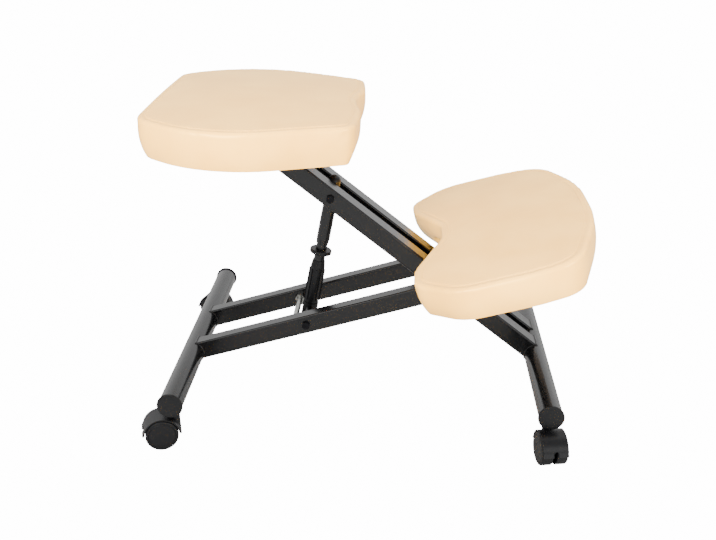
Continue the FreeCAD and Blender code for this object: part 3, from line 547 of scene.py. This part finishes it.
def carve(piece, tool):
    """Cuts a tool out of a piece and throws the tool away."""
    apply_modifier(piece, "BOOLEAN", operation="DIFFERENCE", object=tool, solver="EXACT")
    bpy.data.objects.remove(tool)


def relief_block(relief):
    """A cube whose corners are moved to the ends of the rails' relief."""
    (rear, front), half_width, depth = relief
    bpy.ops.mesh.primitive_cube_add(size=1.0)
    tool = bpy.context.object
    for vertex in tool.data.vertices:
        x, y, z = vertex.co
        vertex.co = Vector((rear if x < 0 else front, math.copysign(half_width, y),
                            -TOOL_DEPTH_MM if z < 0 else depth)) * MM
    return tool


def coordinates(piece):
    """All the points of a mesh, as rows."""
    flat = np.empty(len(piece.data.vertices) * 3)
    piece.data.vertices.foreach_get("co", flat)
    return flat.reshape(-1, 3)


def set_coordinates(piece, points):
    """Moves all the points of a mesh to the rows."""
    piece.data.vertices.foreach_set("co", np.ascontiguousarray(points, dtype=float).ravel())
    piece.data.update()


def foam_slab(name, half, board_half, height, crown, reach, relief):
    """The foam under a cover, with its board's recess, its relief and its crowned lid."""
    piece = slab(name, outline(half, OUTLINE_SLACK_MM), 0.0, height, RIM_TOP_MM, RIM_BASE_MM)
    recess = outline(board_half, BOARD_INSET_MM - BOARD_FIT_MM)
    carve(piece, slab("board_tool", recess, -TOOL_DEPTH_MM, BOARD_MM + BOARD_FIT_MM))
    if relief:
        carve(piece, relief_block(relief))
    apply_modifier(piece, "REMESH", mode="VOXEL", voxel_size=VOXEL_MM * MM, use_smooth_shade=True)
    points = coordinates(piece)
    bend = crown / reach ** 2
    lid = height - bend * ((points[:, 0] / MM) ** 2 + (points[:, 1] / MM) ** 2)
    points[:, 2] *= lid / height
    set_coordinates(piece, points)
    print(name, "foam has", len(points), "points")
    return piece


# %% [markdown]
# The seam and the stitches follow the surface, wherever the foam has moved it. A ray straight down
# from each point of the outline finds that surface and its direction.

# %% Find the surface
DROP_FROM_MM = 200.0


def surface_of(piece):
    """A search tree over the faces of a mesh."""
    shape = bmesh.new()
    shape.from_mesh(piece.data)
    tree = BVHTree.FromBMesh(shape)
    shape.free()
    return tree


def drop_path(tree, path):
    """Drops an outline straight down onto a surface: points and normals."""
    spots = []
    for x, y in path:
        start = Vector((x, y, DROP_FROM_MM)) * MM
        spot, normal, _, _ = tree.ray_cast(start, Vector((0, 0, -1)))
        spots.append((spot, normal))
    return spots


def finder(points):
    """A search tree that finds the nearest of many points."""
    tree = KDTree(len(points))
    for i, point in enumerate(points):
        tree.insert(point, i)
    tree.balance()
    return tree


print("paths are dropped from", DROP_FROM_MM, "mm")

# %% [markdown]
# Pressure from the foam keeps the cover tight. The cloth simulation lets the panels swell while
# the base and the sewn rim are pinned, so the top gets its crown and the band its slight belly.
# The move of each point is capped, because a real cover hardly stretches, and the result is
# applied to the mesh.

# %% Swell the cover
SWELL_FRAMES = 20
SWELL_CAP_MM = 6.0
COVER_CLOTH = {
    "quality": 5, "mass": 0.25, "tension_stiffness": 60, "compression_stiffness": 60,
    "bending_stiffness": 4, "use_pressure": True, "uniform_pressure_force": 4.0,
}
SEWN_REACH_MM = 4.0
BLOCK = 4000


def in_board(points, half):
    """True for points over the board's recess."""
    edge = outline(half, BOARD_INSET_MM - 4.0)
    x, y = points[:, 0], points[:, 1]
    hit = np.zeros(len(points), bool)
    for (x0, y0), (x1, y1) in zip(edge, np.roll(edge, -1, 0)):
        crosses = (y0 > y) != (y1 > y)
        crossing = x0 + (y - y0) * (x1 - x0) / (y1 - y0 if y1 != y0 else 1e-9)
        hit ^= crosses & (x < crossing)
    return hit


def held_points(piece, half, board_half, seam_inset, relief):
    """True for the points of the base, the recess, the relief and the sewn rim."""
    points = coordinates(piece) / MM
    x, y, z = points.T
    held = (z < SEWN_REACH_MM) | ((z < BOARD_MM + 2) & in_board(points, board_half))
    seam = drop_path(surface_of(piece), outline(half, seam_inset))
    ring = np.array([tuple(spot) for spot, _ in seam]) / MM
    for start in range(0, len(points), BLOCK):
        away = np.linalg.norm(points[start:start + BLOCK, None] - ring[None], axis=2).min(1)
        held[start:start + BLOCK] |= away < SEWN_REACH_MM
    if relief:
        (_, front), half_width, depth = relief
        held |= (z < depth + 3) & (abs(y) < half_width + 5) & (x < front + 5)
    return held


def swell(piece, pinned):
    """Blows the cover up softly by cloth pressure, with the pinned points held."""
    rest = coordinates(piece)
    group = piece.vertex_groups.new(name="sewn")
    group.add([int(i) for i in np.flatnonzero(pinned)], 1.0, "REPLACE")
    only(piece)
    cloth = piece.modifiers.new("padding", "CLOTH")
    for name, setting in COVER_CLOTH.items():
        setattr(cloth.settings, name, setting)
    cloth.settings.vertex_group_mass = group.name
    cloth.settings.effector_weights.gravity = 0
    cloth.point_cache.frame_start = 1
    cloth.point_cache.frame_end = SWELL_FRAMES
    for step in range(1, SWELL_FRAMES + 1):
        bpy.context.scene.frame_set(step)
    bpy.ops.object.modifier_apply(modifier=cloth.name)
    bpy.context.scene.frame_set(1)
    move = coordinates(piece) - rest
    reach = np.linalg.norm(move, axis=1)
    cap = SWELL_CAP_MM * MM
    eased = cap * np.tanh(reach / cap)
    move *= (eased / np.maximum(reach, 1e-9))[:, None]
    set_coordinates(piece, rest + move)
    piece.vertex_groups.clear()
    print(piece.name, "swelled by up to", round(float(eased.max()) / MM, 1), "mm")


# %% [markdown]
# The cover is drawn under the foam and stapled to the board, which pulls the foot of the side band
# inwards. Every point of the band moves in along the outline's inward direction, most at the foot,
# and never past the board's edge.

# %% Tuck the band under
TUCK_MM, TUCK_RISE_MM = 10.0, 40.0
COVER_WALL_MM = 1.0


def tuck_under(piece, half):
    """Draws the foot of the side band in, as far as the board's edge lets it."""
    path = outline(half, 0.0, FINE_STEPS)
    inward = inward_of(path)
    nearest = finder([(x, y, 0) for x, y in path])
    limit = BOARD_INSET_MM - COVER_WALL_MM
    points = coordinates(piece) / MM
    foot = np.flatnonzero(points[:, 2] < TUCK_RISE_MM)
    for i in foot:
        x, y, z = points[i]
        _, index, _ = nearest.find((x, y, 0))
        inset = float(inward[index] @ (points[i, :2] - path[index]))
        if inset < limit:
            fade = (1 - max(z, 0.0) / TUCK_RISE_MM) ** 2
            share = fade * (limit - inset) / (limit - OUTLINE_SLACK_MM)
            points[i, :2] += inward[index] * TUCK_MM * share
    set_coordinates(piece, points * MM)
    print(piece.name, "has", len(foot), "points in its foot")


# %% [markdown]
# The seam runs round the rim where top panel and side band meet. It is pressed into the finished
# mesh as a narrow valley, and a slow noise along it gathers tiny puckers on both sides, as thread
# does when it pulls on foam.

# %% Press the seam
SEAM_DEPTH_MM, SEAM_WIDTH_MM, PUCKER_MM = 1.5, 2.2, 0.5
PUCKER_STEP = 0.55


def press_seam(piece, spots, noise_row):
    """Presses a valley along the seam and gathers tiny puckers beside it."""
    nearest = finder([spot for spot, _ in spots])
    points = coordinates(piece)
    width = SEAM_WIDTH_MM * MM
    for i, point in enumerate(points):
        _, index, away = nearest.find(Vector(point))
        if away < 4.5 * width:
            valley = SEAM_DEPTH_MM * math.exp(-(away / width) ** 2)
            fold = noise.noise(Vector((index * PUCKER_STEP, 0.3, noise_row))) * PUCKER_MM
            gather = fold * math.exp(-((away - 2 * width) / (1.6 * width)) ** 2)
            points[i] -= np.array(spots[index][1]) * (valley - gather) * MM
    set_coordinates(piece, points)
    print(piece.name, "seam pressed", SEAM_DEPTH_MM, "mm deep")


# %% [markdown]
# The top panel is sewn down with polyester thread, slightly darker than the vinyl. One stitch is
# modelled from a short cylinder with drawn-in ends. Copies of it are laid every six millimetres
# along the seam's inner side, each turned to the path and to the surface under it.

# %% Thread and stitches
STITCH_STEP_MM, STITCH_LENGTH_MM = 6.0, 4.2
THREAD_MM, TWIST_MM = 0.9, 0.6
STITCH_LIFT_MM = 0.1


def stitch_shape():
    """One stitch along X: points and faces."""
    bpy.ops.object.select_all(action="DESELECT")
    bpy.ops.mesh.primitive_cylinder_add(vertices=8, radius=THREAD_MM / 2 * MM,
                                        depth=STITCH_LENGTH_MM * 0.5 * MM,
                                        rotation=(0, math.pi / 2, 0))
    piece = bpy.context.object
    bpy.ops.object.transform_apply(location=False, rotation=True, scale=False)
    bpy.ops.object.mode_set(mode="EDIT")
    for side in (1, -1):
        bpy.ops.mesh.select_all(action="DESELECT")
        shape = bmesh.from_edit_mesh(piece.data)
        for face in shape.faces:
            face.select = face.normal.x * side > 0.9
        bmesh.update_edit_mesh(piece.data)
        end = (side * STITCH_LENGTH_MM * 0.22 * MM, 0, -THREAD_MM * 0.35 * MM)
        bpy.ops.mesh.extrude_region_move(TRANSFORM_OT_translate={"value": end})
        bpy.ops.transform.resize(value=(1, 0.45, 0.45))
    bpy.ops.object.mode_set(mode="OBJECT")
    points = coordinates(piece)
    faces = [tuple(polygon.vertices) for polygon in piece.data.polygons]
    bpy.data.objects.remove(piece)
    return points, faces


def lay_stitches(name, spots):
    """Lays copies of the stitch along a closed path on a surface, as one mesh."""
    points, faces = stitch_shape()
    ring = [spot for spot, _ in spots]
    length = sum((ring[i] - ring[i - 1]).length for i in range(len(ring)))
    count = int(length / (STITCH_STEP_MM * MM))
    path = even_path([tuple(p) for p in ring], count)
    normals = even_path([tuple(n) for _, n in spots], count)
    rows, polygons = [], []
    for i in range(count):
        along = Vector(path[(i + 1) % count] - path[i - 1]).normalized()
        out = Vector(normals[i]).normalized()
        across = out.cross(along).normalized()
        out = along.cross(across)
        turn = np.array([along, across, out]).T
        rows.append(points @ turn.T + path[i] + np.array(out) * STITCH_LIFT_MM * MM)
        polygons += [tuple(v + i * len(points) for v in face) for face in faces]
    mesh = bpy.data.meshes.new(name)
    mesh.from_pydata(np.concatenate(rows).tolist(), [], polygons)
    piece = bpy.data.objects.new(name, mesh)
    bpy.context.scene.collection.objects.link(piece)
    print(name, "has", count, "stitches")
    return piece


thread, tree, shader = new_material("polyester_thread", "#dcbb84", 0.6, Sheen_Weight=0.2)
coords = add_node(tree, "ShaderNodeTexCoord")
twist = add_node(tree, "ShaderNodeTexWave",
                 {"Vector": coords.outputs["Object"], "Scale": 0.3 / (TWIST_MM * MM)},
                 bands_direction="DIAGONAL")
twist_bump = add_node(tree, "ShaderNodeBump",
                      {"Height": twist.outputs["Fac"], "Strength": 0.4, "Distance": 0.1 * MM})
tree.links.new(twist_bump.outputs["Normal"], shader.inputs["Normal"])

# %% [markdown]
# Now the steps come together: foam, swelling, tuck, one subdivision for a smooth skin, seam,
# stitches. The simulation has to come before the seam, because swelling would blow a narrow valley
# flat again.

# %% Make a cushion
STITCH_ROW_MM = 3.2


def make_cushion(name, half, board_half, thickness, crown, reach, seam_inset, noise_row,
                 relief=None):
    """A finished cover with its stitches, lying flat at the origin."""
    piece = foam_slab(name, half, board_half, thickness + crown, crown, reach, relief)
    swell(piece, held_points(piece, half, board_half, seam_inset, relief))
    tuck_under(piece, board_half)
    apply_modifier(piece, "SUBSURF", levels=1, render_levels=1)
    seam = drop_path(surface_of(piece), outline(half, seam_inset, FINE_STEPS))
    press_seam(piece, seam, noise_row)
    row = drop_path(surface_of(piece), outline(half, seam_inset + STITCH_ROW_MM, FINE_STEPS))
    stitches = lay_stitches(name.replace("cover", "stitches"), row)
    for made, finish in ((piece, cream_vinyl), (stitches, thread)):
        only(made)
        bpy.ops.object.shade_smooth()
        made.data.materials.append(finish)
    return piece, stitches


seat_cover, seat_stitches = make_cushion(
    "seat_cover", seat_cover_half, seat_board_half, thickness=60.0, crown=7.0, reach=SEAT_HALF,
    seam_inset=12.0, noise_row=0)
RAIL_RELIEF = ((-180.0, -44.0), 82.6, 24.3)
knee_cover, knee_stitches = make_cushion(
    "knee_cover", knee_cover_half, knee_board_half, thickness=56.0, crown=6.0, reach=KNEE_HALF,
    seam_inset=14.0, noise_row=1, relief=RAIL_RELIEF)

# %% [markdown]
# Only at the very end the meshes are turned and carried to where the boards are in the CAD frame,
# so the objects stay at the origin. The covers take the place of the CAD's plain foam solids and
# ride on the upper pair of rails.

# %% Carry the covers to their boards
SEAT_BASE, SEAT_PITCH = (-191.047, 0.0, 458.569), 1.2
KNEE_BASE, KNEE_PITCH = (213.638, 0.0, 256.348), -15.6

for pieces, base, pitch in (((seat_cover, seat_stitches), SEAT_BASE, SEAT_PITCH),
                            ((knee_cover, knee_stitches), KNEE_BASE, KNEE_PITCH)):
    turn = Matrix.Rotation(math.radians(pitch), 4, "Y")
    for piece in pieces:
        piece.data.transform(Matrix.Translation(Vector(base) * MM) @ turn)
        piece.data.update()
        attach(piece, "upper_frame")
        print(piece.name, "faces:", len(piece.data.polygons))

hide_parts("seat_cushion")
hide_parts("knee_cushion")

# %% [markdown]
# Cream vinyl under white lamps looks chalky, and brighter lamps would turn the black steel grey.
# Light linking solves both: three warm softboxes shine on the covers and on nothing else.

# %% Warm light for the covers
WARM = (1.0, 0.75, 0.27)

upholstery = bpy.data.collections.new("upholstery")
for piece in (seat_cover, seat_stitches, knee_cover, knee_stitches):
    upholstery.objects.link(piece)
for name, place, size, watts in (("vinyl_key", (-0.9, -2.5, 1.2), (2.0, 1.2), 470),
                                 ("vinyl_side", (2.6, -1.4, 1.0), (1.4, 1.0), 240),
                                 ("vinyl_top", (0.0, 0.3, 2.6), (2.4, 2.0), 70)):
    lamp = add_softbox(name, place, size, watts)
    lamp.data.color = WARM
    lamp.light_linking.receiver_collection = upholstery

# %% [markdown]
# Where a rail meets a cross tube the welder leaves a bead all round. The bead follows the line
# where the rail's four faces cut the round tube: an arc down each side and a straight run across.
# A circle's points are moved onto that line, the circle is turned into a curve with a round
# section, and the section's radius swells and thins to give the small ripples of a hand-laid weld.

# %% Weld bead
TUBE_RADIUS_MM, RAIL_HALF_HEIGHT_MM = 19.0, 16.0
BEAD_MM, RIPPLE_MM, RIPPLE_SHARE = 1.7, 4.0, 0.14
SIDE_POINTS, BEAD_POINTS, BEAD_STEP_MM = 14, 84, 1.9


def weld_bead(name, axis_mm, slope_deg, y_low, y_high, body):
    """A bead round one rail's end: the tube's axis, and the rail's slope above +X."""
    heights = np.linspace(-RAIL_HALF_HEIGHT_MM, RAIL_HALF_HEIGHT_MM, SIDE_POINTS)
    reach = np.sqrt(TUBE_RADIUS_MM ** 2 - heights ** 2)
    near = [(u, y_low, h) for u, h in zip(reach, heights)]
    far = [(u, y_high, h) for u, h in zip(reach[::-1], heights[::-1])]
    loop = even_path(near + far, BEAD_POINTS)
    turn = Matrix.Rotation(-math.radians(slope_deg), 3, "Y")
    bpy.ops.object.select_all(action="DESELECT")
    bpy.ops.mesh.primitive_circle_add(vertices=len(loop), radius=1.0)
    piece = bpy.context.object
    piece.name = name
    for vertex, point in zip(piece.data.vertices, loop):
        vertex.co = (Vector(axis_mm) + turn @ Vector(point)) * MM
    bpy.ops.object.convert(target="CURVE")
    piece = bpy.context.object
    piece.data.bevel_depth = BEAD_MM * MM
    piece.data.bevel_resolution = 2
    step = 2 * math.pi * BEAD_STEP_MM / RIPPLE_MM
    for i, point in enumerate(piece.data.splines[0].points):
        point.radius = 1.0 + RIPPLE_SHARE * math.sin(i * step)
    bpy.ops.object.convert(target="MESH")
    piece = bpy.context.object
    only(piece)
    bpy.ops.object.mode_set(mode="EDIT")
    bpy.ops.mesh.select_all(action="SELECT")
    bpy.ops.mesh.normals_make_consistent(inside=False)
    bpy.ops.object.mode_set(mode="OBJECT")
    bpy.ops.object.shade_smooth()
    piece.data.materials.append(powder_coat)
    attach(piece, body)
    print(name, "has", len(piece.data.polygons), "faces")


# %% [markdown]
# The lower rails leave the rear cross tube and climb forwards. The upper rails leave the front
# cross tube and lean back over it. Each rail gets one bead, and the left side mirrors the right.

# %% Four weld beads
REAR_AXIS, LOWER_SLOPE, LOWER_RAIL_Y = (-312.404, 0.0, 82.5), 16.8, (51.5, 76.5)
FRONT_AXIS, UPPER_SLOPE, UPPER_RAIL_Y = (285.096, 0.0, 82.5), 142.0, (14.0, 49.0)

for side, sign in (("right", -1), ("left", 1)):
    low, high = sorted(sign * y for y in LOWER_RAIL_Y)
    weld_bead("lower_weld_" + side, REAR_AXIS, LOWER_SLOPE, low, high, "lower_frame")
    low, high = sorted(sign * y for y in UPPER_RAIL_Y)
    weld_bead("upper_weld_" + side, FRONT_AXIS, UPPER_SLOPE, low, high, "upper_frame")

# %% [markdown]
# The last cell prints the size of the dressed model, so that a swollen cushion or a stray point
# shows at once.

# %% Sizes and finish
low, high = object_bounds()
print("dressed box in mm:", [round(v / MM, 1) for v in (*low, *high)])
